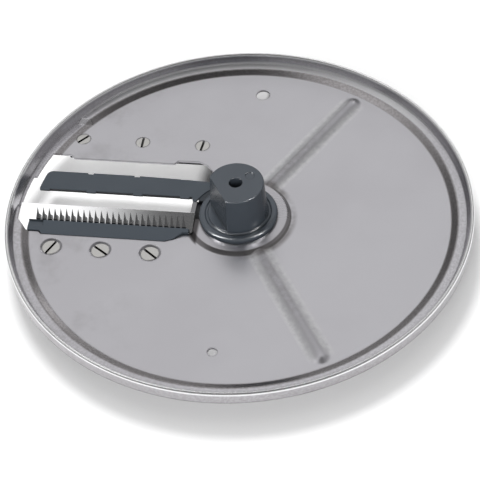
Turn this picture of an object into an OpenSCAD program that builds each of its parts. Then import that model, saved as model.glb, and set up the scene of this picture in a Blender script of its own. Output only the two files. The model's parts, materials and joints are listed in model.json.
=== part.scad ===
// Julienne disc of a food preparation machine. Millimetres, +Z up.
// The origin is on the drive axis, in the plane that the disc rests on.
// The row of cutting teeth runs along X, on the -X side of the hub.

/* [Disc plate] */
// Diameter over the rim
disc_d = 196; // [190:1:204]
// Thickness of the pressed sheet
sheet_t = 0.8; // [0.6:0.1:1]
// Height of the plate's upper face above the rest plane
plate_z = 12; // [11:0.5:16]
// Width of the sloping step outside the floor
step_w = 2.8; // [2:0.1:3]
// Height of the raised shelf inside the rim
shelf_h = 1.2; // [0.8:0.1:1.6]
// Width of the shelf
shelf_w = 3.7; // [3:0.1:4]
// How far the rim's inner wall leans outwards
wall_w = 1.3; // [1:0.1:1.6]
// Place across the row where the part of the shelf that is pressed flat ends
flat_end = 50.4; // [48:0.1:54]
// Height of the rim above the floor
rim_h = 5.6; // [4:0.1:8]
// Thickness of the folded rim
rim_t = 1.7; // [1.5:0.1:2]
// Gap between the floor's upper face and the lower edge of the rim's outer skirt
skirt_lift = 0.2; // [0:0.1:0.6]

/* [Centre boss and ribs] */
// Radius of the raised flat round the hub
boss_r = 20.4; // [19.5:0.1:21]
// Width of the boss's sloping side
boss_slope = 1.6; // [1:0.1:2]
// Height of the boss above the floor
boss_h = 1.5; // [1:0.1:2]
// Angle of the first pressed rib from +X
rib_angle = 61; // [50:1:70]
// Angle between the two ribs
rib_spread = 120; // [110:1:130]
// Width of a rib at its foot
rib_w = 9; // [7:0.5:11]
// Height of a rib
rib_h = 1.1; // [0.6:0.1:1.2]

/* [Plain holes] */
// Diameter of the hole on the far side
far_hole_d = 6; // [4:0.5:8]
// Distance of the far hole from the axis
far_hole_r = 75.7; // [72:0.1:80]
// Diameter of the hole on the near side
near_hole_d = 4; // [3:0.5:6]
// Distance of the near hole from the axis
near_hole_r = 72.8; // [70:0.1:80]

/* [Window] */
// Far edge of the window
window_far = 29.3; // [28:0.1:30]
// Near edge of the window, behind the blade
window_near = -16.2; // [-17:0.1:-16]
// How far the window's outer end reaches past the step
window_over = 1; // [0.5:0.1:1.2]
// How far the deeper outer end beside the blade reaches past the step
blade_over = 2.4; // [2.2:0.1:2.7]
// Chamfer of the window's near outer corner
corner_cut = 5.6; // [5:0.1:6]
// How far the corner reliefs reach past the far edge
relief = 2; // [1:0.1:3]
// Length of the outer corner relief
relief_outer_l = 8.3; // [7:0.1:10]
// Outer end of the inner corner relief
relief_inner_x = -31; // [-33:0.5:-28]

/* [Blade] */
// Height of the cutting edge above the floor
cut_h = 2.5; // [2:0.1:3]
// Place of the cutting edge across the row
edge_y = -1.2; // [-2:0.1:-0.5]
// Thickness of the blade
blade_t = 1; // [0.8:0.1:1.2]
// Width of the ground bevel at the cutting edge
bevel_w = 2.2; // [1:0.1:3]
// Gap between the blade's outer end and the window
blade_gap = 0.6; // [0.5:0.1:1]
// Inner end of the blade
blade_inner = -18.3; // [-19:0.1:-18.2]
// How far the tab at the inner end stands ahead of the edge
tab_l = 6.2; // [4:0.1:7]
// Width of that tab
tab_w = 1.9; // [1.5:0.1:2.5]
// Rear edge of the blade under the plate
blade_rear = -29; // [-31:0.5:-28]

/* [Comb] */
// Distance from tooth to tooth, which is the width of a cut strip
tooth_pitch = 2.5; // [2.3:0.1:3]
// Distance of the first tooth from the end of the holder's bar
tooth_end = 4; // [3:0.1:5]
// Least distance of the last tooth from the blade's inner end
tooth_inner_end = 3; // [2:0.1:4]
// Width of a tooth at its root
tooth_w = 1.8; // [1.2:0.1:2]
// How far the point leans to the outer side of the tooth's middle
tooth_lean = 0.6; // [0:0.1:0.8]
// Length of a tooth from the holder to its point
tooth_l = 3.8; // [3:0.1:5]
// Height of a tooth's point above the floor
tooth_top = 5.3; // [4.5:0.1:6]
// Front face of the comb holder's bar
bar_front = -9.5; // [-10:0.1:-9]
// Height of the bar's front edge above the floor
bar_h = 1.9; // [1.6:0.1:2.4]
// Thickness of the holder's flange under the plate
flange_t = 1.6; // [1.4:0.1:2]
// Distance of the bar's outer end from the window's chamfered corner
bar_end = 0.5; // [0.2:0.1:1]
// Length of the bar's lower outer end
bar_step_l = 6.4; // [5.5:0.1:7]
// Inner end of the holder's flange
flange_inner = -29; // [-30:0.5:-27]

/* [Food support] */
// Far edge of the rail that carries the food ahead of the blade
rail_far = 20.8; // [19:0.1:22]
// Near edge of the rail
rail_near = 10.3; // [10:0.1:12]
// Thickness of the rail
rail_t = 2.4; // [2:0.1:3]
// Thickness of the rail at its thin near edge
rail_edge = 0.7; // [0.5:0.1:1]
// Gap between the rail's outer end and the window
rail_gap = 3.5; // [2:0.1:4]
// Radius of the rail's outer far corner
rail_corner = 2.8; // [1:0.1:4]
// Radius of the rail's inner end round the hub
rail_inner_r = 22; // [21:0.1:23]
// Depth of the block at the rail's inner end
block_t = 8.5; // [6:0.5:9]
// Thickness of the arm and flange under the plate
arm_t = 3; // [2.5:0.1:3.5]

/* [Hub] */
// Radius of the hub at its top
hub_top_r = 11.7; // [11.5:0.1:12]
// Radius of the hub at its foot
hub_foot_r = 12.5; // [12.2:0.1:12.8]
// Height of the hub's top above the floor
hub_h = 20.8; // [18:0.1:24]
// Distance of the hub's flat from the axis, at the top
flat_d = 8.1; // [7.8:0.1:10]
// Direction in which the flat faces
flat_angle = 212; // [200:1:230]
// Draft of the flat
flat_draft = 2.3; // [0:0.1:3]
// Radius of the collar on the boss
collar_r = 16.5; // [16.2:0.1:17]
// Thickness of the collar
collar_t = 2.3; // [2:0.1:3]
// Radius of the bore for the drive shaft
bore_r = 7; // [6:0.1:7.5]
// Radius of the hole for the shaft's tip
tip_r = 2.8; // [2.5:0.1:3.2]
// Thickness of the hub's top over the shaft bore
top_t = 8.5; // [6:0.5:10]
// Width of the two drive key slots
key_w = 4; // [3:0.1:5]
// Radius that the key slots reach
key_r = 9.6; // [9:0.1:10]
// Radius of the retainer under the plate
retainer_r = 16; // [15.5:0.1:16.2]
// Thickness of the retainer's floor
retainer_t = 4; // [3:0.5:5]
// Clearance between the hub's spigot and what it passes through
hub_gap = 0.2; // [0.1:0.05:0.4]
// Radius on which the retainer's screws lie
hub_screw_r = 9.8; // [9.5:0.1:10]

/* [Fasteners] */
// Place of the inner blade screw along the row
blade_screw_x = -34; // [-35:0.5:-33]
// Distance of the outer blade screw from the radius of the blade's outer end
blade_screw_end = 17.1; // [16:0.1:20]
// Place of the blade screws across the row
blade_screw_y = -23; // [-24:0.1:-22.5]
// Radius of a blade screw's head
blade_head_r = 3.85; // [3.6:0.05:4]
// Radius of a blade screw's shank
blade_shank_r = 2; // [1.8:0.1:2.2]
// Place of the inner support screw along the row
support_screw_x = -22.1; // [-23:0.1:-21]
// Distance of the outer support screw from the radius of the window's outer end
support_screw_end = 17; // [16:0.1:20]
// Place of the support screws across the row
support_screw_y = 41.5; // [40:0.1:43]
// Radius of a support screw's head
support_head_r = 3.1; // [2.8:0.05:3.3]
// Radius of a support screw's shank
support_shank_r = 1.5; // [1.3:0.1:1.7]
// Clearance between a screw's shank and its hole
shank_gap = 0.2; // [0.1:0.05:0.3]
// Width of a screwdriver slot
slot_w = 1; // [0.8:0.1:1.2]
// Depth of a screwdriver slot
slot_d = 0.8; // [0.5:0.1:1]
// Width across the flats of a blade nut
blade_nut_af = 7; // [6:0.1:8]
// Thickness of a blade nut
blade_nut_t = 3.2; // [2.5:0.1:3.5]
// Width across the flats of a support nut
support_nut_af = 5.5; // [5:0.1:6]
// Thickness of a support nut
support_nut_t = 2.4; // [2:0.1:3]

/* [Hidden] */
$fn = 96;
screw_count = 3;
cut = 1; // how far a cutting solid runs past the face that it cuts

outer_r = disc_d / 2;
wall_r = outer_r - rim_t - wall_w;
shelf_r = wall_r - shelf_w;
floor_r = shelf_r - step_w;
shelf_z = plate_z + shelf_h;
window_r = shelf_r + window_over;
blade_window_r = shelf_r + blade_over;
blade_r = blade_window_r - blade_gap;
rail_r = window_r - rail_gap;
sheet_low = plate_z - sheet_t;
boss_top = plate_z + boss_h;
boss_low = boss_top - sheet_t;
holder_low = sheet_low - flange_t;
blade_low = holder_low - blade_t;
spigot_r = hub_foot_r;
centre_hole_r = spigot_r + hub_gap;
hub_low = retainer_t;
hub_top = plate_z + hub_h;
blade_fold_y = window_near - 0.8;
blade_rise = plate_z + cut_h - holder_low;
blade_run = edge_y - blade_fold_y;
bar_y = window_near + 0.2;

function polar(r, a) = [r * cos(a), r * sin(a)];
function arc(c, r, from, to, n) = [for (i = [0:n]) c + polar(r, from + (to - from) * i / n)];
function on_arc(r, y) = [-sqrt(r * r - y * y), y];
// Height of the blade's upper face at a place across the row
function blade_top(y) = holder_low + blade_rise * (y - blade_fold_y) / blade_run;
function screw_places(inner, outer, y) =
    [for (i = [0:screw_count - 1]) [inner + (outer - inner) * i / (screw_count - 1), y]];
function hub_screw_places() = [for (i = [0:screw_count - 1]) polar(hub_screw_r, 30 + 120 * i)];
function tooth_name(i) = str("tooth_", i < 9 ? "0" : "", i + 1);
function numbered(name) = [for (i = [1:screw_count]) str(name, "_", i)];

blade_screws = screw_places(blade_screw_x, blade_screw_end - blade_r, blade_screw_y);
support_screws = screw_places(support_screw_x, support_screw_end - window_r, support_screw_y);

// The window's near outer corner: a ledge, then a chamfer up to the outer end
ledge_y = window_near + 1.4;
corner_y = ledge_y + corner_cut;
corner_x = on_arc(blade_window_r, corner_y)[0] + corner_cut - 1;
ledge_x = corner_x + 5.4;
bar_outer = corner_x + bar_end;
bar_step_x = bar_outer + bar_step_l;
bar_inner = blade_inner - 1.2;
tooth_x = bar_outer + tooth_end;
tooth_count = floor((blade_inner - tooth_inner_end - tooth_x) / tooth_pitch) + 1;
blade_sink = 0.5;
support_sink = 0.15;
screw_end = 0.8; // how far a screw stands out of its nut
hub_screw_l = 10;

// Section of the sheet from the centre hole to the edge of the floor
module floor_section() {
    polygon([[centre_hole_r, boss_low], [centre_hole_r, boss_top], [boss_r, boss_top],
             [boss_r + boss_slope, plate_z], [floor_r, plate_z], [floor_r, sheet_low],
             [boss_r + boss_slope - sheet_t / 2, sheet_low], [boss_r - sheet_t / 2, boss_low]]);
}

// Section of the folded rim, from the shelf's edge over the crest and down the skirt
module rim_section() {
    crest_r = rim_t / 2;
    crest = [outer_r - crest_r, plate_z + rim_h - crest_r];
    skirt = plate_z + skirt_lift;
    polygon(concat(
        [[wall_r, shelf_z]], arc(crest, crest_r, 180, 0, 8),
        [[outer_r, skirt], [outer_r - sheet_t, skirt], [outer_r - sheet_t, shelf_z],
         [wall_r + sheet_t, shelf_z - sheet_t], [wall_r, shelf_z - sheet_t]]));
}

// All that lies under the step and the shelf, for one face of the sheet
module under_shelf(face, base) {
    difference() {
        rotate_extrude($fn = 180) polygon([
            [floor_r, base], [floor_r, plate_z + face], [shelf_r, shelf_z + face],
            [wall_r, shelf_z + face], [wall_r, base]]);
        along_row(-outer_r, -outer_r / 2) polygon([
            [-step_w, shelf_z + face], [0, plate_z + face], [flat_end, plate_z + face],
            [flat_end + step_w, shelf_z + face], [flat_end + step_w, shelf_z + cut],
            [-step_w, shelf_z + cut]]);
    }
}

// The step and the shelf, pressed flat beside the food support
module shelf() {
    base = sheet_low - cut;
    difference() {
        under_shelf(0, base);
        under_shelf(-sheet_t, base - cut);
    }
}

// Where the shelf is flat, the rim's wall runs on down to the floor
module low_wall() {
    lean = wall_w * shelf_h / (rim_h - rim_t / 2 - shelf_h);
    intersection() {
        rotate_extrude($fn = 180) polygon([
            [wall_r - lean, sheet_low], [wall_r - lean, plate_z], [wall_r, shelf_z],
            [wall_r + sheet_t, shelf_z - sheet_t], [wall_r + sheet_t, sheet_low]]);
        translate([-outer_r, -step_w / 2, sheet_low - cut])
            cube([outer_r / 2, flat_end + step_w, shelf_h + sheet_t + 2 * cut]);
    }
}

// Half of the wave of a pressed rib: a narrow flat crest, its shoulder just inside the sheet's face
module half_wave() {
    steps = 8;
    dip = 0.02;
    low = -sheet_t / 2;
    curve = [for (i = [1:steps])
        [rib_w / 2 * i / steps, rib_h * (1 + cos(180 * i / steps)) / 2 - dip]];
    polygon(concat([[0, low], [0, curve[0][1]]], curve, [[rib_w / 2, low]]));
}

// A rib along +X at a level, with a rounded outer end
module rib(from, to, level) {
    run = to - rib_w / 2 - from;
    translate([from, 0, level]) {
        rotate([90, 0, 90]) linear_extrude(run) {
            half_wave();
            mirror([1, 0]) half_wave();
        }
        translate([run, 0, 0]) rotate(-90) rotate_extrude(angle = 180) half_wave();
    }
}

module at_ribs() {
    for (a = [rib_angle, rib_angle - rib_spread]) rotate(a) children();
}

// Outline of the punched window, clockwise from its far outer corner
module window_outline() {
    blade_gap_y = 16.6;
    hub_cut_y = -3.7;
    hub_cut_r = collar_r - 0.6;
    inner_x = blade_inner + 0.4;
    far_y = window_far + relief;
    run = 1.5;
    relief_outer_x = on_arc(window_r, far_y)[0] + relief_outer_l;
    slant = corner_cut - 1;
    difference() {
        intersection() {
            polygon([[-outer_r, far_y], [relief_outer_x, far_y], [relief_outer_x + run, window_far],
                     [relief_inner_x - run, window_far], [relief_inner_x, far_y],
                     [-21.5, far_y], [-18.2, far_y - 1.6], [-15.5, far_y - 4.6],
                     [-13.6, 20], [0, 12], [0, hub_cut_y], [inner_x, hub_cut_y], [inner_x, -10.8],
                     [-21.8, -11.2], [-25.5, -14.6], [flange_inner + 0.2, window_near],
                     [ledge_x + 1.2, window_near], [ledge_x, ledge_y], [corner_x, ledge_y],
                     [corner_x - 2 * slant, ledge_y + 2 * corner_cut]]);
            union() {
                circle(window_r);
                intersection() {
                    circle(blade_window_r);
                    translate([-outer_r, window_near - cut])
                        square([outer_r, blade_gap_y - window_near + cut]);
                }
            }
        }
        circle(hub_cut_r);
    }
}

// Dimple pressed into the sheet round a screw: the wall below the floor
module dimple(depth, head_r, shank_r, flare) {
    rotate_extrude() polygon([
        [shank_r, -depth], [shank_r + sheet_t, -depth],
        [head_r + flare + sheet_t / 2, -sheet_t * 1.01], [head_r + flare, -sheet_t / 4],
        [shank_r, -sheet_t / 4]]);
}

// The space inside a dimple, where the screw's head sits sunk below the floor
module seat(depth, head_r, shank_r, sink, flare) {
    rotate_extrude() polygon([
        [0, -depth - cut], [shank_r, -depth - cut], [shank_r, -depth], [head_r, -sink],
        [head_r + flare * (1 + cut / sink), cut], [0, cut]]);
}

blade_hole_r = blade_shank_r + shank_gap;
support_hole_r = support_shank_r + shank_gap;
blade_flare = 0.9;
support_flare = 0.15;
blade_depth = blade_sink + blade_head_r - blade_hole_r;
support_depth = support_sink + support_head_r - support_hole_r;

module disc_plate() color("silver") difference() {
    union() {
        difference() {
            union() {
                rotate_extrude($fn = 180) {
                    floor_section();
                    rim_section();
                }
                shelf();
                low_wall();
                at_ribs() rib(boss_r + 0.3, floor_r - 1, plate_z);
            }
            at_ribs() rib(boss_r + boss_slope, floor_r - 1, sheet_low);
        }
        for (p = blade_screws) translate([p[0], p[1], plate_z])
            dimple(blade_depth, blade_head_r, blade_hole_r, blade_flare);
        for (p = support_screws) translate([p[0], p[1], plate_z])
            dimple(support_depth, support_head_r, support_hole_r, support_flare);
    }
    translate([0, 0, sheet_low - cut]) linear_extrude(rim_h + 2 * cut) window_outline();
    for (p = blade_screws) translate([p[0], p[1], plate_z])
        seat(blade_depth, blade_head_r, blade_hole_r, blade_sink, blade_flare);
    for (p = support_screws) translate([p[0], p[1], plate_z])
        seat(support_depth, support_head_r, support_hole_r, support_sink, support_flare);
    translate([0, far_hole_r, sheet_low - cut]) cylinder(d = far_hole_d, h = sheet_t + 2 * cut);
    translate([0, -near_hole_r, sheet_low - cut]) cylinder(d = near_hole_d, h = sheet_t + 2 * cut);
}

// Half of the hub's section: spigot, collar with its bead and groove, tapered body
module hub_section() {
    edge = 0.5;
    collar_top = boss_top + collar_t;
    bead_r = 1.1;
    groove = 0.5;
    polygon(concat(
        [[0, hub_low], [spigot_r, hub_low], [spigot_r, boss_top], [collar_r, boss_top]],
        arc([collar_r - bead_r, collar_top - bead_r], bead_r, 0, 90, 4),
        [[hub_foot_r + 1.6, collar_top], [hub_foot_r + 1.1, collar_top - groove],
         [hub_foot_r + 0.4, collar_top - groove], [hub_foot_r, collar_top]],
        arc([hub_top_r - edge, hub_top - edge], edge, 0, 90, 3),
        [[0, hub_top]]));
}

module key_slots(low, height) {
    translate([-key_r, -key_w / 2, low]) cube([2 * key_r, key_w, height]);
}

module hub() color("dimgray") difference() {
    mark_r = 2;
    mark_d = 0.3;
    slot_h = 6;
    collar_top = boss_top + collar_t;
    rotate_extrude() hub_section();
    translate([0, 0, hub_low - cut]) cylinder(r = bore_r, h = hub_top - top_t - hub_low + cut);
    cylinder(r = tip_r, h = hub_top + cut);
    key_slots(hub_low - cut, slot_h + cut);
    rotate(flat_angle) translate([flat_d, -outer_r / 2, hub_top]) rotate([0, -flat_draft, 0])
        translate([0, 0, collar_top - hub_top + 0.2]) cube([outer_r, outer_r, hub_h]);
    translate([5.3, 4.5, hub_top - mark_d]) cylinder(r = mark_r, h = mark_d + cut);
    for (p = hub_screw_places()) translate([p[0], p[1], 0])
        cylinder(r = support_shank_r, h = hub_screw_l + 2 * cut);
}

// Ring under the plate that clamps the hub's collar down on the boss
module hub_retainer() color("dimgray") difference() {
    mouth_r = bore_r + 0.4;
    bevel = 1;
    rotate_extrude() polygon([
        [mouth_r, 0], [retainer_r - bevel, 0], [retainer_r, bevel], [retainer_r, boss_low],
        [spigot_r + hub_gap, boss_low], [spigot_r + hub_gap, retainer_t], [mouth_r, retainer_t]]);
    key_slots(-cut, retainer_t + 2 * cut);
    for (p = hub_screw_places()) translate([p[0], p[1], 0]) {
        translate([0, 0, -cut]) cylinder(r = support_hole_r, h = retainer_t + 2 * cut);
        cylinder(r1 = support_head_r, r2 = support_hole_r, h = support_head_r - support_hole_r);
        translate([0, 0, -cut]) cylinder(r = support_head_r, h = cut);
    }
}

// Side view of the blade: flange under the holder, fold, rising face, ground bevel
module blade_section() {
    bevel_y = edge_y - bevel_w;
    polygon([
        [blade_rear, blade_low], [blade_fold_y, blade_low], [bevel_y, blade_top(bevel_y) - blade_t],
        [edge_y, blade_top(edge_y) - 0.05], [edge_y, blade_top(edge_y)],
        [blade_fold_y, holder_low], [blade_rear, holder_low]]);
}

// Turns a side view in Y and Z into a solid along X
module along_row(from, to) {
    translate([from, 0, 0]) rotate([90, 0, 90]) linear_extrude(to - from) children();
}

module blade() color("lightgray") {
    rear_in = flange_inner + 2;
    chamfer_x = corner_cut - 1;
    chamfer_y = corner_cut + 0.4;
    front_y = corner_y - 0.2;
    difference() {
        intersection() {
            along_row(-outer_r, blade_inner) blade_section();
            translate([0, 0, blade_low - cut]) linear_extrude(blade_rise + 3 * cut) intersection() {
                circle(blade_r);
                polygon([[-outer_r, edge_y + cut], [blade_inner, edge_y + cut],
                         [blade_inner, window_near + 6], [-21.5, window_near + 4],
                         [rear_in, window_near], [rear_in, blade_rear], [ledge_x + 1.2, blade_rear],
                         on_arc(blade_r, front_y) + [chamfer_x, -chamfer_y],
                         on_arc(blade_r, front_y) + [-chamfer_x, chamfer_y]]);
            }
        }
        for (p = blade_screws) translate([p[0], p[1], blade_low - cut])
            cylinder(r = blade_hole_r, h = blade_t + 2 * cut);
    }
    translate([blade_inner - tab_w, edge_y, blade_top(edge_y) - blade_t])
        cube([tab_w, tab_l, blade_t]);
}

// Side view of the comb holder: flange under the plate and bar on the blade
module holder_section() {
    polygon([
        [blade_rear, holder_low], [blade_fold_y, holder_low], [bar_front, blade_top(bar_front)],
        [bar_front, plate_z + bar_h - 0.4], [bar_front - 0.4, plate_z + bar_h],
        [bar_y, plate_z], [bar_y, sheet_low], [blade_rear, sheet_low]]);
}

module comb_holder() color("darkslategray") difference() {
    flange_outer = ledge_x + 1.2;
    intersection() {
        along_row(bar_outer, bar_inner) holder_section();
        translate([0, 0, holder_low - cut]) linear_extrude(flange_t + bar_h + 3 * cut)
            polygon([[bar_outer, bar_front + cut], [blade_inner, bar_front + cut],
                     [blade_inner, -11.4], [-21.9, -11.6], [-25.8, -14.9], [flange_inner, bar_y],
                     [flange_inner, blade_rear], [flange_outer, blade_rear], [flange_outer, bar_y],
                     [bar_step_x, bar_y], [bar_step_x - 1.2, bar_y + 1.4], [bar_outer, bar_y + 1.4]]);
    }
    // The bar's outer end is lower
    translate([bar_outer - cut, bar_y - cut, plate_z + bar_h / 2])
        cube([bar_step_x - bar_outer + cut, bar_front - bar_y - 0.4 + cut, bar_h]);
    for (p = blade_screws) translate([p[0], p[1], plate_z]) {
        rotate_extrude() polygon([
            [0, -blade_depth], [blade_hole_r + sheet_t, -blade_depth],
            [blade_head_r + blade_flare + sheet_t / 2, -sheet_t],
            [blade_head_r + blade_flare + sheet_t / 2, 0], [0, 0]]);
        translate([0, 0, holder_low - plate_z - cut]) cylinder(r = blade_hole_r, h = flange_t + 2 * cut);
    }
}

// One tooth: a thorn that stands on the blade against the holder's bar, with an upright edge
module tooth(i) color("gainsboro") {
    x = tooth_x + i * tooth_pitch;
    half = tooth_w / 2;
    tip_y = bar_front + tooth_l;
    root_z = plate_z + bar_h;
    tip_z = plate_z + tooth_top;
    intersection() {
        translate([x, 0, sheet_low]) linear_extrude(tooth_top + sheet_t + cut)
            polygon([[-half, bar_front], [half, bar_front], [-tooth_lean, tip_y]]);
        along_row(x - tooth_w, x + tooth_w) polygon([
            [bar_front, blade_top(bar_front)], [tip_y, blade_top(tip_y)], [tip_y, tip_z],
            [bar_front, root_z + 0.3]]);
        translate([x, tip_y + cut, 0]) rotate([90, 0, 0]) linear_extrude(tooth_l + 2 * cut)
            polygon([[-half, sheet_low], [half, sheet_low], [half, root_z],
                     [-tooth_lean, tip_z + 0.05], [-half, root_z]]);
    }
}

// Rail ahead of the blade, and the moulded arm and flange that carry it under the plate
module food_support() color("darkslategray") {
    lug_w = 4.2;
    lug_l = 1;
    lug_x = -24.7;
    lug_pitch = (rail_r - 2.9 + lug_x) / 3;
    notch_w = 2.4;
    notch_d = 0.7;
    foot_y = 7.5;
    lug_cut = 0.4;
    corner = on_arc(rail_r - rail_corner, rail_far - rail_corner);
    corner_angle = atan2(corner[1], corner[0]);
    block_x = -18.5;
    flange_x = 12.3 - window_r;
    flange_y0 = window_far + relief + 2;
    flange_y1 = support_screw_y + 6;
    difference() {
        union() {
            // The rail, level with the plate's floor, thin along its near edge
            intersection() {
                translate([0, 0, plate_z - rail_t]) linear_extrude(rail_t) difference() {
                    intersection() {
                        union() {
                            polygon(concat(
                                [[-outer_r, rail_near], [-21.6, rail_near], [-20.8, foot_y],
                                 [-18.6, foot_y], [-15, 12], [-12.6, rail_far - 1.4],
                                 [-26, rail_far - 0.6], [-48, rail_far]],
                                arc(corner, rail_corner, 90, corner_angle, 6),
                                [polar(outer_r, corner_angle)]));
                            for (i = [0:3]) translate([lug_x - i * lug_pitch, rail_near])
                                polygon([[-lug_w / 2, lug_l], [-lug_w / 2, lug_cut - lug_l],
                                         [lug_cut - lug_w / 2, -lug_l], [lug_w / 2 - lug_cut, -lug_l],
                                         [lug_w / 2, lug_cut - lug_l], [lug_w / 2, lug_l]]);
                        }
                        circle(rail_r);
                    }
                    circle(rail_inner_r - 1);
                    for (i = [0:2])
                        translate([lug_x - (i + 0.05) * lug_pitch - notch_w, rail_far - notch_d])
                            square([notch_w, 2 * notch_d]);
                }
                along_row(-outer_r, 0) polygon([
                    [0, plate_z], [0, plate_z - rail_edge], [rail_near - lug_l, plate_z - rail_edge],
                    [rail_near + lug_l, plate_z - rail_t], [rail_far + cut, plate_z - rail_t],
                    [rail_far + cut, plate_z]]);
            }
            // The block under the rail's inner end
            translate([0, 0, plate_z - block_t]) linear_extrude(block_t - rail_edge / 2) difference() {
                polygon([[block_x, foot_y + 1], [-16, foot_y + 1], [-6, 14], [-6, rail_far - 1.4],
                         [block_x, rail_far - 1.4]]);
                circle(retainer_r + hub_gap);
            }
            // The arm and the flange under the plate
            translate([0, 0, sheet_low - arm_t]) linear_extrude(arm_t) difference() {
                polygon([[-12.8, 15], [-5, 15], [-5, flange_y1 - 4], [-9, flange_y1],
                         [flange_x, flange_y1], [flange_x, flange_y0], [-15, flange_y0],
                         [-12.8, flange_y0 - 3]]);
                circle(retainer_r + hub_gap);
            }
        }
        for (p = support_screws) translate([p[0], p[1], plate_z]) {
            rotate_extrude() polygon([
                [0, -support_depth], [support_hole_r + sheet_t, -support_depth],
                [support_head_r + support_flare + sheet_t / 2, -sheet_t],
                [support_head_r + support_flare + sheet_t / 2, 0], [0, 0]]);
            translate([0, 0, -sheet_t - arm_t - cut])
                cylinder(r = support_hole_r, h = arm_t + sheet_t + cut);
        }
    }
}

// Slotted countersunk screw with its head's upper face at z = 0, pointing down
module screw(head_r, shank_r, hole_r, length, slot_angle) {
    crown = 0.1;
    difference() {
        rotate_extrude() polygon([
            [0, -length], [shank_r - 0.3, -length], [shank_r, -length + 0.4], [shank_r, hole_r - head_r],
            [hole_r, hole_r - head_r], [head_r, 0], [head_r - 0.3, crown], [0, crown]]);
        rotate(slot_angle) translate([-head_r - cut, -slot_w / 2, -slot_d + crown])
            cube([2 * (head_r + cut), slot_w, slot_d + cut]);
    }
}

module nut(af, thickness, hole_r) {
    difference() {
        cylinder(d = af / cos(30), h = thickness, $fn = 6);
        translate([0, 0, -cut]) cylinder(r = hole_r, h = thickness + 2 * cut);
    }
}

blade_slots = [-38, -35, 65];
support_slots = [84, 90, 49];
hub_slot = 20;

module blade_screw(i) color("silver") {
    p = blade_screws[i];
    length = plate_z - blade_sink - blade_low + blade_nut_t + screw_end;
    translate([p[0], p[1], plate_z - blade_sink])
        screw(blade_head_r, blade_shank_r, blade_hole_r, length, blade_slots[i]);
}

module blade_nut(i) color("silver") {
    p = blade_screws[i];
    translate([p[0], p[1], blade_low - blade_nut_t]) nut(blade_nut_af, blade_nut_t, blade_shank_r);
}

module support_screw(i) color("silver") {
    p = support_screws[i];
    length = sheet_t + arm_t - support_sink + support_nut_t + screw_end;
    translate([p[0], p[1], plate_z - support_sink])
        screw(support_head_r, support_shank_r, support_hole_r, length, support_slots[i]);
}

module support_nut(i) color("silver") {
    p = support_screws[i];
    translate([p[0], p[1], sheet_low - arm_t - support_nut_t])
        nut(support_nut_af, support_nut_t, support_shank_r);
}

module hub_screw(i) color("silver") {
    p = hub_screw_places()[i];
    sink = 0.2;
    translate([p[0], p[1], sink]) rotate([180, 0, 0])
        screw(support_head_r - sink, support_shank_r, support_hole_r, hub_screw_l, hub_slot);
}

disc_plate();
hub();
hub_retainer();
blade();
comb_holder();
food_support();
for (i = [0:tooth_count - 1]) tooth(i);
for (i = [0:screw_count - 1]) {
    blade_screw(i);
    blade_nut(i);
    support_screw(i);
    support_nut(i);
    hub_screw(i);
}
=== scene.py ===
# %% [markdown]
# # A julienne disc in Blender
# A food processor's julienne disc is a shallow pan of pressed stainless sheet. A polished blade
# and a comb of small teeth stand in a window of the pan, a dark rail carries the food up to
# them, and a dark moulded hub in the middle takes the drive shaft.
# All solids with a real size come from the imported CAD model. This file gives them their
# finishes, adds the fine pieces that only the eye needs, and builds a small photo studio.

# %% The frame and its box
import json
import math

import bmesh
import bpy
from mathutils import Matrix, Quaternion, Vector


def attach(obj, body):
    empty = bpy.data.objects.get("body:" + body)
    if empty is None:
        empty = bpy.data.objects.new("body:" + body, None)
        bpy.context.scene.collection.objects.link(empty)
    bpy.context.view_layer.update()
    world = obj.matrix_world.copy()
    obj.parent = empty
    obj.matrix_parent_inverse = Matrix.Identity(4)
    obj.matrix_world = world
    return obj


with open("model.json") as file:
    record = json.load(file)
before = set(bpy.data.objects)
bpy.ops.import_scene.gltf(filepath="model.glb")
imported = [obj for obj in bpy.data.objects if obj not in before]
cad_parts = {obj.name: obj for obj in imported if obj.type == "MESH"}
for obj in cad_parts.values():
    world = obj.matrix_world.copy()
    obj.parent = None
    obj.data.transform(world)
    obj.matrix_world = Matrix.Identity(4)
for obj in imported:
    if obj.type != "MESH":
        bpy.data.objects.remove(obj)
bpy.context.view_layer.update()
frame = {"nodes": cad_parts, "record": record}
nodes = frame["nodes"]

# %% [markdown]
# ## Shader maths as plain Python
# Blender's materials are graphs of nodes. Wiring them by hand hides the sum that they stand for.
# Here a Wire wraps a socket, and +, -, *, / and ** on wires add Math nodes, so a pattern reads
# as the expression that it is. Every other node comes from one method, Board.add, which sets the
# node's own settings first and its sockets second.

# %% Wires and boards


class Wire:
    """An output socket that can be used like a number in an expression."""

    def __init__(self, board, socket):
        self.board, self.socket = board, socket

    def _math(self, operation, first, second):
        return self.board.add("ShaderNodeMath", {"operation": operation}, {0: first, 1: second})

    def __add__(self, other):
        return self._math("ADD", self, other)

    __radd__ = __add__

    def __mul__(self, other):
        return self._math("MULTIPLY", self, other)

    __rmul__ = __mul__

    def __sub__(self, other):
        return self._math("SUBTRACT", self, other)

    def __rsub__(self, other):
        return self._math("SUBTRACT", other, self)

    def __truediv__(self, other):
        return self._math("DIVIDE", self, other)

    def __rtruediv__(self, other):
        return self._math("DIVIDE", other, self)

    def __pow__(self, other):
        return self._math("POWER", self, other)

    def __abs__(self):
        return self._math("ABSOLUTE", self, 0.0)

    def at_least(self, other):
        return self._math("MAXIMUM", self, other)

    def at_most(self, other):
        return self._math("MINIMUM", self, other)

    def rise(self, low, high, start=0.0, end=1.0):
        """Smooth step from start to end as the wire goes from low to high."""
        return self.board.add("ShaderNodeMapRange", {"interpolation_type": "SMOOTHSTEP"},
                              {"Value": self, "From Min": low, "From Max": high,
                               "To Min": start, "To Max": end})


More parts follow.
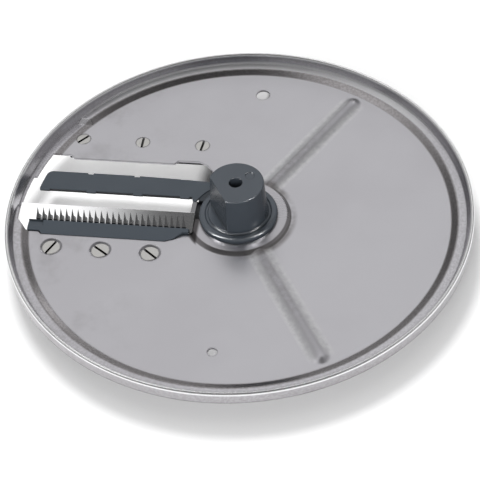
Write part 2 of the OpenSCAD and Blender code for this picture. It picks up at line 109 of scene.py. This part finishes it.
class Board:
    """One node tree, of a material or of the world."""

    def __init__(self, tree):
        self.tree = tree
        tree.nodes.clear()

    def add(self, kind, settings=None, values=None, out=0):
        node = self.tree.nodes.new(kind)
        for name, value in (settings or {}).items():
            if name == "stops":
                ramp = node.color_ramp
                while len(ramp.elements) > 1:
                    ramp.elements.remove(ramp.elements[-1])
                for i, (place, colour) in enumerate(value):
                    stop = ramp.elements[0] if i == 0 else ramp.elements.new(place)
                    stop.position, stop.color = place, (*colour, 1.0)
            else:
                setattr(node, name, value)
        for name, value in (values or {}).items():
            self.put(self.find(node.inputs, name), value)
        return Wire(self, self.find(node.outputs, out)) if node.outputs else None

    def find(self, sockets, name):
        if isinstance(name, int):
            return sockets[name]
        for s in sockets:
            if s.identifier == name:
                return s
        return sockets[name]

    def put(self, socket, value):
        if isinstance(value, Wire):
            self.tree.links.new(value.socket, socket)
        elif socket.type == "RGBA" and not isinstance(value, (int, float)):
            socket.default_value = (*value[:3], 1.0)
        else:
            socket.default_value = value

    def mix(self, factor, a, b):
        """Colour a where factor is 0 and colour b where it is 1."""
        return self.add("ShaderNodeMix", {"data_type": "RGBA"},
                        {"Factor_Float": factor, "A_Color": a, "B_Color": b}, "Result_Color")

    def place(self, kind="Object"):
        return self.add("ShaderNodeTexCoord", out=kind)

    def axes(self, vector):
        """The three numbers of a vector as wires."""
        first = self.add("ShaderNodeSeparateXYZ", values={"Vector": vector})
        node = first.socket.node
        return [Wire(self, node.outputs[i]) for i in range(3)]

    def noise(self, vector, scale, detail=2.0, rough=0.5):
        return self.add("ShaderNodeTexNoise", {},
                        {"Vector": vector, "Scale": scale, "Detail": detail, "Roughness": rough}, "Fac")

    def scaled(self, vector, scale, location=(0, 0, 0), rotation=(0, 0, 0)):
        return self.add("ShaderNodeMapping", {}, {"Vector": vector, "Scale": scale,
                                                  "Location": location, "Rotation": rotation})

    def bump(self, height, strength, distance, radius=0.0):
        """Fine relief, on arrises that look rounded to a radius."""
        values = {"Height": height, "Strength": strength, "Distance": distance}
        if radius:
            values["Normal"] = self.add("ShaderNodeBevel", {"samples": 6}, {"Radius": radius})
        return self.add("ShaderNodeBump", {}, values, "Normal")

    def open_sky(self, reach):
        """1 on open faces, less in corners and crevices within reach."""
        return self.add("ShaderNodeAmbientOcclusion", {"samples": 8}, {"Distance": reach}, "AO")


def finish_named(name, build):
    """Makes a material: build(board) returns the values of a Principled shader's sockets."""
    material = bpy.data.materials.new(name)
    material.use_nodes = True
    board = Board(material.node_tree)
    shader = board.add("ShaderNodeBsdfPrincipled", {}, build(board), "BSDF")
    board.add("ShaderNodeOutputMaterial", {}, {"Surface": shader})
    print("finish:", name, "nodes:", len(material.node_tree.nodes))
    return material


# %% [markdown]
# ## The camera
# The photograph looks down at about 46 degrees from a little to the right of the blade's front,
# through a long lens, and it is rolled by about 5 degrees. The disc sits above the middle of the
# picture, so the lens is shifted by that much and no more.

# %% Camera
target = Vector((0.0, 0.0, 0.012))
camera_data = bpy.data.cameras.new("camera")
camera_data.lens = 135.7
camera_data.shift_x = 0.0025
camera_data.shift_y = -0.0469
camera_data.clip_start, camera_data.clip_end = 0.05, 20
camera = bpy.data.objects.new("camera", camera_data)
bpy.context.scene.collection.objects.link(camera)
camera.location = (0.1106, -0.5116, 0.5611)
turn = (target - camera.location).to_track_quat("-Z", "Y") @ Quaternion((0, 0, 1), math.radians(-5.39))
camera.rotation_mode = "QUATERNION"
camera.rotation_quaternion = turn
bpy.context.scene.camera = camera
print("camera at", [round(v, 3) for v in camera.location], "lens", camera_data.lens)

# %% [markdown]
# ## The studio
# Bare metal shows what stands round it, so the studio is most of its look. The world is painted
# as a ceiling: a direction's x and y, divided by its z, say where a ray meets a ceiling one metre
# up. One soft box hangs there beyond the disc, where a flat plate mirrors it to the camera, and a
# lower wing on its left lights half of the inclined blade. A narrow bright strip beyond it is met
# only by rounded edges, such as the rim's crest and the hub's bead. Every slope of the metal
# mirrors the dark room beside the box instead, which draws the pan's step and rim. The walls are
# pale, and more boxes hang behind the camera, at both sides and overhead, where the photograph's
# view mirrors little, so the pan is brighter from its other sides too. Seen by the camera itself
# the room is plain white.

# %% World
world = bpy.data.worlds.new("studio")
bpy.context.scene.world = world
world.use_nodes = True
room = Board(world.node_tree)
look_x, look_y, look_z = room.axes(room.place("Generated"))
ceiling = look_z.at_least(0.02)
across, away = look_x / ceiling, look_y / ceiling


def between(value, low, high, soft):
    """1 between two places on the ceiling and 0 beyond them, with soft edges."""
    return value.rise(low - soft, low + soft) * value.rise(high + soft, high - soft)


ROOM_TOP, ROOM_SIDE, BOX, WING, STRIP = 0.11, 0.50, 0.68, 1.3, 2.6
AROUND = 0.48
walls = look_z.rise(0.40, 0.28, ROOM_TOP, ROOM_SIDE)
box = between(across, -0.85, 0.55, 0.10) * between(away, 0.34, 1.50, 0.10)
wing = between(across, -0.65, -0.225, 0.03) * between(away, 0.0, 0.42, 0.06)
strip = between(across, -0.7, 0.9, 0.15) * between(away, 2.3, 2.8, 0.15)
behind = between(across, -3.5, 3.5, 0.3) * between(away, -4.0, -1.35, 0.2)
left_side = between(across, -4.0, -1.35, 0.25) * between(away, -1.6, 1.0, 0.2)
right_side = between(across, 1.2, 4.0, 0.25) * between(away, -1.6, 1.3, 0.2)
overhead = between(across, 0.15, 0.9, 0.08) * between(away, -0.5, 0.25, 0.08)
around = behind.at_least(left_side).at_least(right_side).at_least(overhead * 0.4)
level = (walls + (box * BOX).at_least(wing * WING).at_least(strip * STRIP)).at_least(around * AROUND)
seen = room.add("ShaderNodeLightPath", out="Is Camera Ray")
strength = seen + (1 - seen) * level
lit = room.add("ShaderNodeBackground", {}, {"Color": (1, 1, 1), "Strength": strength})
room.add("ShaderNodeOutputWorld", {}, {"Surface": lit})
print("world nodes:", len(world.node_tree.nodes))

# %% [markdown]
# ## Floor and lamps
# The floor is white paper. To the camera it also glows a little, so that it reads as white while
# the shadow stays, and mirrors see the same glow, which is what brightens the disc's skirt. The
# key lamp makes the shadow, and a broad fill from the front reveals the sides of the dark
# mouldings. Neither lamp shows in the metal, because the painted box is what the metal mirrors.
# Two tall strips are linked to the hub alone and draw the highlights along its bead. The glow
# fades close to the disc, which draws its contact shadow, and it is kept up in pools under the
# window and the two holes, because the photograph shows the paper nearly white there.

# %% Floor and lamps
mesh = bpy.data.meshes.new("floor")
shape = bmesh.new()
bmesh.ops.create_grid(shape, x_segments=1, y_segments=1, size=3.0)
shape.to_mesh(mesh)
shape.free()
floor = bpy.data.objects.new("floor", mesh)
bpy.context.scene.collection.objects.link(floor)

paper = bpy.data.materials.new("paper")
paper.use_nodes = True
sheet = Board(paper.node_tree)
matt = sheet.add("ShaderNodeBsdfDiffuse", {}, {"Color": (0.8, 0.8, 0.8)})
floor_x, floor_y, _ = sheet.axes(sheet.place())
near_disc = sheet.open_sky(0.05).rise(0.25, 1.0, 0.0, 0.23)
under_window = (floor_x.rise(-0.103, -0.094) * floor_x.rise(-0.018, -0.026)
                * floor_y.rise(0.003, 0.009) * floor_y.rise(0.052, 0.044))
pools = under_window * floor_x.rise(-0.090, -0.070, 0.24, 0.46)
for pool_x, pool_y, reach, pool_glow in ((-0.0036, 0.0881, 0.0036, 0.40), (-0.0014, -0.0634, 0.0028, 0.35)):
    off_pool = ((floor_x - pool_x) ** 2 + (floor_y - pool_y) ** 2) ** 0.5
    pools = pools + off_pool.rise(reach + 0.0008, reach - 0.0008) * pool_glow
glow = sheet.add("ShaderNodeEmission", {}, {"Color": (1, 1, 1), "Strength": near_disc + pools})
both = sheet.add("ShaderNodeAddShader", {}, {0: matt, 1: glow})
camera_ray = sheet.add("ShaderNodeLightPath", out="Is Camera Ray")
mirror_ray = sheet.add("ShaderNodeLightPath", out="Is Glossy Ray")
shown = sheet.add("ShaderNodeMixShader", {}, {0: (camera_ray + mirror_ray).at_most(1.0), 1: matt, 2: both})
sheet.add("ShaderNodeOutputMaterial", {}, {"Surface": shown})
mesh.materials.append(paper)


def lamp(name, place, size, energy):
    """A disk lamp aimed at the disc, which no metal mirrors."""
    data = bpy.data.lights.new(name, "AREA")
    data.shape, data.size, data.energy = "DISK", size, energy
    held = bpy.data.objects.new(name, data)
    bpy.context.scene.collection.objects.link(held)
    held.location = place
    held.rotation_mode = "QUATERNION"
    held.rotation_quaternion = (target - held.location).to_track_quat("-Z", "Y")
    held.visible_glossy = False
    return held


def strip_lamp(name, place, width, height, energy, only):
    """A tall strip that shows as a highlight in one object and lights nothing else."""
    held = lamp(name, place, width, energy)
    held.data.shape, held.data.size_y = "RECTANGLE", height
    held.visible_glossy, held.visible_diffuse = True, False
    held.light_linking.receiver_collection = bpy.data.collections.new(name + " receiver")
    held.light_linking.receiver_collection.objects.link(only)
    return held


lamps = [lamp("key", (-0.22, 0.46, 1.12), 0.46, 9.8), lamp("fill", (0.14, -1.00, 0.50), 0.7, 10.5),
         strip_lamp("left strip", (-0.60, -0.30, 0.73), 0.16, 1.0, 30.0, nodes["hub"]),
         strip_lamp("right strip", (0.62, -0.22, 0.75), 0.12, 0.9, 18.0, nodes["hub"])]
bpy.context.scene.view_settings.view_transform = "Standard"
print("floor and", len(lamps), "lamps placed")

# %% [markdown]
# ## Pressed sheet
# The pan is satin stainless steel. Rolling and polishing leave soft clouds in its shine and very
# fine lines, and the boss round the hub is turned smoother, with a little darker colour. Distance
# from the axis picks out the boss, so one finish serves the whole sheet. A pressed sheet has no
# sharp arris, so a Bevel node rounds every bend to the eye. Painted shade darkens the corners,
# the boss's slope, a crescent on the right just outside the boss, the step, the strip of sheet
# between the collar and the window, and a band along each rib's crest, where the ribs are also
# rougher. Painted highlights brighten the rim's crest, the ribs' flanks and the foot of the rim's
# far wall. The skirt and patches over the pan's left part are darker.

# %% Sheet finish
BEND, SOFT_EDGE, FINE_EDGE = 0.0007, 0.0004, 0.00015
RIB_ANGLES = (math.radians(61), math.radians(61 - 120))


def off_rib(x, y, angle):
    """Distance along a rib's direction, and distance off its middle line."""
    along = x * math.cos(angle) + y * math.sin(angle)
    aside = abs(y * math.cos(angle) - x * math.sin(angle))
    return along, aside


def pressed_sheet(b):
    where = b.place()
    x, y, z = b.axes(where)
    radius = (x * x + y * y) ** 0.5
    clouds = b.noise(b.scaled(where, (18, 18, 18)), 1.0, 3.0)
    lines = b.noise(b.scaled(where, (90, 2500, 90), rotation=(0, 0, 0.3)), 1.0, 2.0)
    grit = b.noise(where, 420.0, 3.0, 0.7)
    fine_grit = b.noise(where, 1100.0, 2.0, 0.6)
    patches = b.noise(b.scaled(where, (60, 60, 60)), 1.0, 4.0, 0.6)
    boss = radius.rise(0.0222, 0.0208)
    rim = radius.rise(0.0880, 0.0895)
    crest = z.rise(0.0164, 0.0170)
    rib_crest_shade, blur, rib_flank_highlight = 0.0, 0.0, 0.0
    for angle in RIB_ANGLES:
        along, aside = off_rib(x, y, angle)
        on_rib = along.rise(0.019, 0.026) * along.rise(0.086, 0.080)
        # Painted shade: a dark, grainy band along each rib's crest, fading towards the rim.
        rib_crest_shade = on_rib * aside.rise(0.0040, 0.0010) * along.rise(0.076, 0.045, 0.25, 1.0) + rib_crest_shade
        blur = on_rib * aside.rise(0.0062, 0.0040) + blur
        # Painted highlight: a light band along the ribs' flanks.
        rib_flank_highlight = on_rib * aside.rise(0.0010, 0.0028) * aside.rise(0.0062, 0.0045) + rib_flank_highlight
    # Darker patches over the pan's left part.
    left_patches = patches.rise(0.48, 0.72) * x.rise(-0.02, -0.07) * 0.22
    # Painted shade: a patchy dark crescent on the right, just outside the boss.
    boss_crescent_shade = radius.rise(0.0212, 0.0218) * radius.rise(0.0252, 0.0228) * x.rise(0.002, 0.012)
    # Painted shade on the boss's slope and on the step up to the rim.
    slope = radius.rise(0.0202, 0.0208) * radius.rise(0.0224, 0.0218)
    step = radius.rise(0.0880, 0.0888) * radius.rise(0.0922, 0.0912)
    # Painted shade on the strip of sheet between the hub's collar and the window.
    collar_gap_shade = x.rise(-0.0150, -0.0165) * radius.rise(0.0236, 0.0224)
    skirt = radius.rise(0.0955, 0.0965) * z.rise(0.0167, 0.0161)
    # Painted highlight: a light band at the foot of the rim's far wall, on the far side only.
    foot = (radius.rise(0.0915, 0.0925) * radius.rise(0.0965, 0.0958) * z.rise(0.0146, 0.0134)
            * y.rise(0.045, 0.080))
    # dull sums the darkening: the painted shade on the ribs' crests, the crescent, the boss's slope and the
    # step, with a darker boss and skirt, mottling on the rim and the left patches.
    dull = (rib_crest_shade * grit.rise(0.25, 0.7, 0.0, 0.35) + boss_crescent_shade * patches.rise(0.30, 0.55) * 0.85
            + slope * 0.65 + step * 0.75 + boss * 0.22 + skirt * 0.40
            + rim * fine_grit.rise(0.3, 0.7, 0.05, 0.28) + left_patches)
    # Painted shade: an Ambient Occlusion node darkens the corners.
    corner_shade = b.open_sky(0.004).rise(0.25, 0.85, 0.35, 1.0)
    satin = b.mix(clouds.rise(0.3, 0.7), (0.600, 0.590, 0.622), (0.655, 0.647, 0.680))
    # toned is the satin tone darkened by dull, painted shade included.
    toned = b.mix(dull.at_most(1.0), satin, (0.25, 0.237, 0.240))
    # Painted highlights on the rim's crest, the ribs' flanks and the far wall's foot.
    painted_highlights = crest.at_least(rib_flank_highlight * grit.rise(0.3, 0.7, 0.35, 0.85)).at_least(foot * 0.8)
    bright = b.mix(painted_highlights, toned, (0.90, 0.90, 0.91))
    # Painted shade: the corners and the strip beside the collar turn nearly black.
    colour = b.mix(corner_shade * (1 - collar_gap_shade * 0.9), (0.05, 0.045, 0.045), bright)
    rough = (0.33 + (clouds - 0.5) * 0.12 + (lines - 0.5) * 0.04 + blur.at_most(1.0) * 0.20
             - boss * 0.04 - rim * 0.10 + foot * 0.20)
    return {"Base Color": colour, "Metallic": 1.0, "Roughness": rough,
            "Normal": b.bump(lines, 0.25, 0.00002, BEND)}


# %% [markdown]
# ## Blade, teeth and screws
# The blade is polished almost to a mirror, so it needs little more than a low roughness; its
# inner tab beside the hub's collar is painted dark as shade. The teeth are ground, the screws
# are turned and a little warm, and painted shade darkens the teeth's roots and what lies deep in
# a driver slot or against a seat. An Ambient Occlusion node finds those places on every screw
# and tooth alike.

# %% Bright finishes


def polished_steel(b):
    x, y, z = b.axes(b.place())
    lines = b.noise(b.scaled(b.place(), (60, 3000, 60)), 1.0, 2.0)
    # Painted shade: the blade's inner tab beside the hub's collar is painted dark.
    tab = y.rise(-0.0014, -0.0010) * x.rise(-0.0206, -0.0202)
    colour = b.mix(tab, (0.86, 0.86, 0.87), (0.26, 0.26, 0.27))
    return {"Base Color": colour, "Metallic": 1.0, "Roughness": 0.06 + lines * 0.03,
            "Normal": b.bump(lines, 0.05, 0.00001, FINE_EDGE)}


def ground_tooth(b):
    lines = b.noise(b.scaled(b.place(), (200, 200, 4000)), 1.0, 2.0)
    # Painted shade: an Ambient Occlusion node darkens the teeth's roots.
    root = b.open_sky(0.0015).rise(0.2, 0.9)
    colour = b.mix(root, (0.10, 0.10, 0.10), (0.60, 0.60, 0.61))
    return {"Base Color": colour, "Metallic": 1.0, "Roughness": 0.2 + lines * 0.1}


def bright_screw(b):
    where = b.place()
    clouds = b.noise(where, 900.0, 3.0)
    toned = b.mix(clouds, (0.62, 0.61, 0.59), (0.76, 0.75, 0.73))
    # Painted shade: an Ambient Occlusion node darkens the slots and the seats.
    colour = b.mix(b.open_sky(0.0016).rise(0.55, 0.88), (0.012, 0.011, 0.010), toned)
    return {"Base Color": colour, "Metallic": 1.0, "Roughness": 0.30 + clouds * 0.12,
            "Normal": b.bump(clouds, 0.1, 0.00002, FINE_EDGE)}


# %% [markdown]
# ## Dark mouldings
# The hub is the smoother moulding and shows bright streaks on its bead. The comb's holder and
# the food support are the same colour with a duller, finely grained face. Painted shade makes all
# of them nearly black below the plate's level and darkens their crevices.

# %% Moulded finishes


def moulding(dull, low, high):
    def build(b):
        where = b.place()
        grain = b.noise(where, 2600.0, 3.0)
        clouds = b.noise(where, 70.0, 2.0)
        dusty = b.mix(clouds, low, high)
        # Painted shade: below the plate's level the mouldings are painted nearly black, and an Ambient
        # Occlusion node darkens their crevices.
        above = b.axes(where)[2].rise(0.0114, 0.0119, 0.1, 1.0)
        colour = b.mix(b.open_sky(0.003).rise(0.2, 0.8) * above, (0.004, 0.004, 0.005), dusty)
        return {"Base Color": colour, "Roughness": dull + (grain - 0.5) * 0.1,
                "Normal": b.bump(grain, 0.15, 0.00003, SOFT_EDGE)}
    return build


finishes = {
    "plate": finish_named("pressed_sheet", pressed_sheet),
    "blade": finish_named("polished_steel", polished_steel),
    "tooth": finish_named("ground_tooth", ground_tooth),
    "plastic": finish_named("dull_moulding", moulding(0.50, (0.040, 0.049, 0.060), (0.050, 0.060, 0.072))),
    "fastener": finish_named("bright_screw", bright_screw),
}
smooth = finish_named("smooth_moulding", moulding(0.25, (0.041, 0.049, 0.060), (0.049, 0.058, 0.070)))

# %% Finishes on the CAD nodes
for part in frame["record"]["subparts"]:
    held = nodes[part["node"]]
    held.data.materials.clear()
    held.data.materials.append(smooth if part["node"] == "hub" else finishes[part["material_slot"]])

# %% [markdown]
# ## The food support's web
# In the photograph a dark mass fills the gap between the blade's inner end and the hub's collar.
# It is read as a low web of the food support, moulded in one with the block that carries the
# rail, so it starts inside that block. It is a cube cut to size, with one corner taken off and
# every edge rounded, because only its top and one side show through the window.

# %% Support web
# Painted shade: the web lies below the plate's level, so the moulding's finish paints it nearly black.
web_low, web_high = Vector((-0.0206, -0.0010, 0.0050)), Vector((-0.0163, 0.0096, 0.0100))
shape = bmesh.new()
bmesh.ops.create_cube(shape, size=1.0)
bmesh.ops.scale(shape, vec=web_high - web_low, verts=shape.verts)
bmesh.ops.translate(shape, vec=(web_low + web_high) / 2, verts=shape.verts)
corner = [e for e in shape.edges if all((v.co.xy - web_low.xy).length < 1e-5 for v in e.verts)]
bmesh.ops.bevel(shape, geom=corner, offset=0.0016, segments=3, profile=0.5,
                affect="EDGES", material=-1)
bmesh.ops.bevel(shape, geom=shape.edges[:], offset=0.0003, segments=2, profile=0.5,
                affect="EDGES", material=-1)
mesh = bpy.data.meshes.new("support_web")
shape.to_mesh(mesh)
shape.free()
web = bpy.data.objects.new("support_web", mesh)
bpy.context.scene.collection.objects.link(web)
mesh.materials.append(finishes["plastic"])
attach(web, "root")
print("web faces:", len(mesh.polygons))
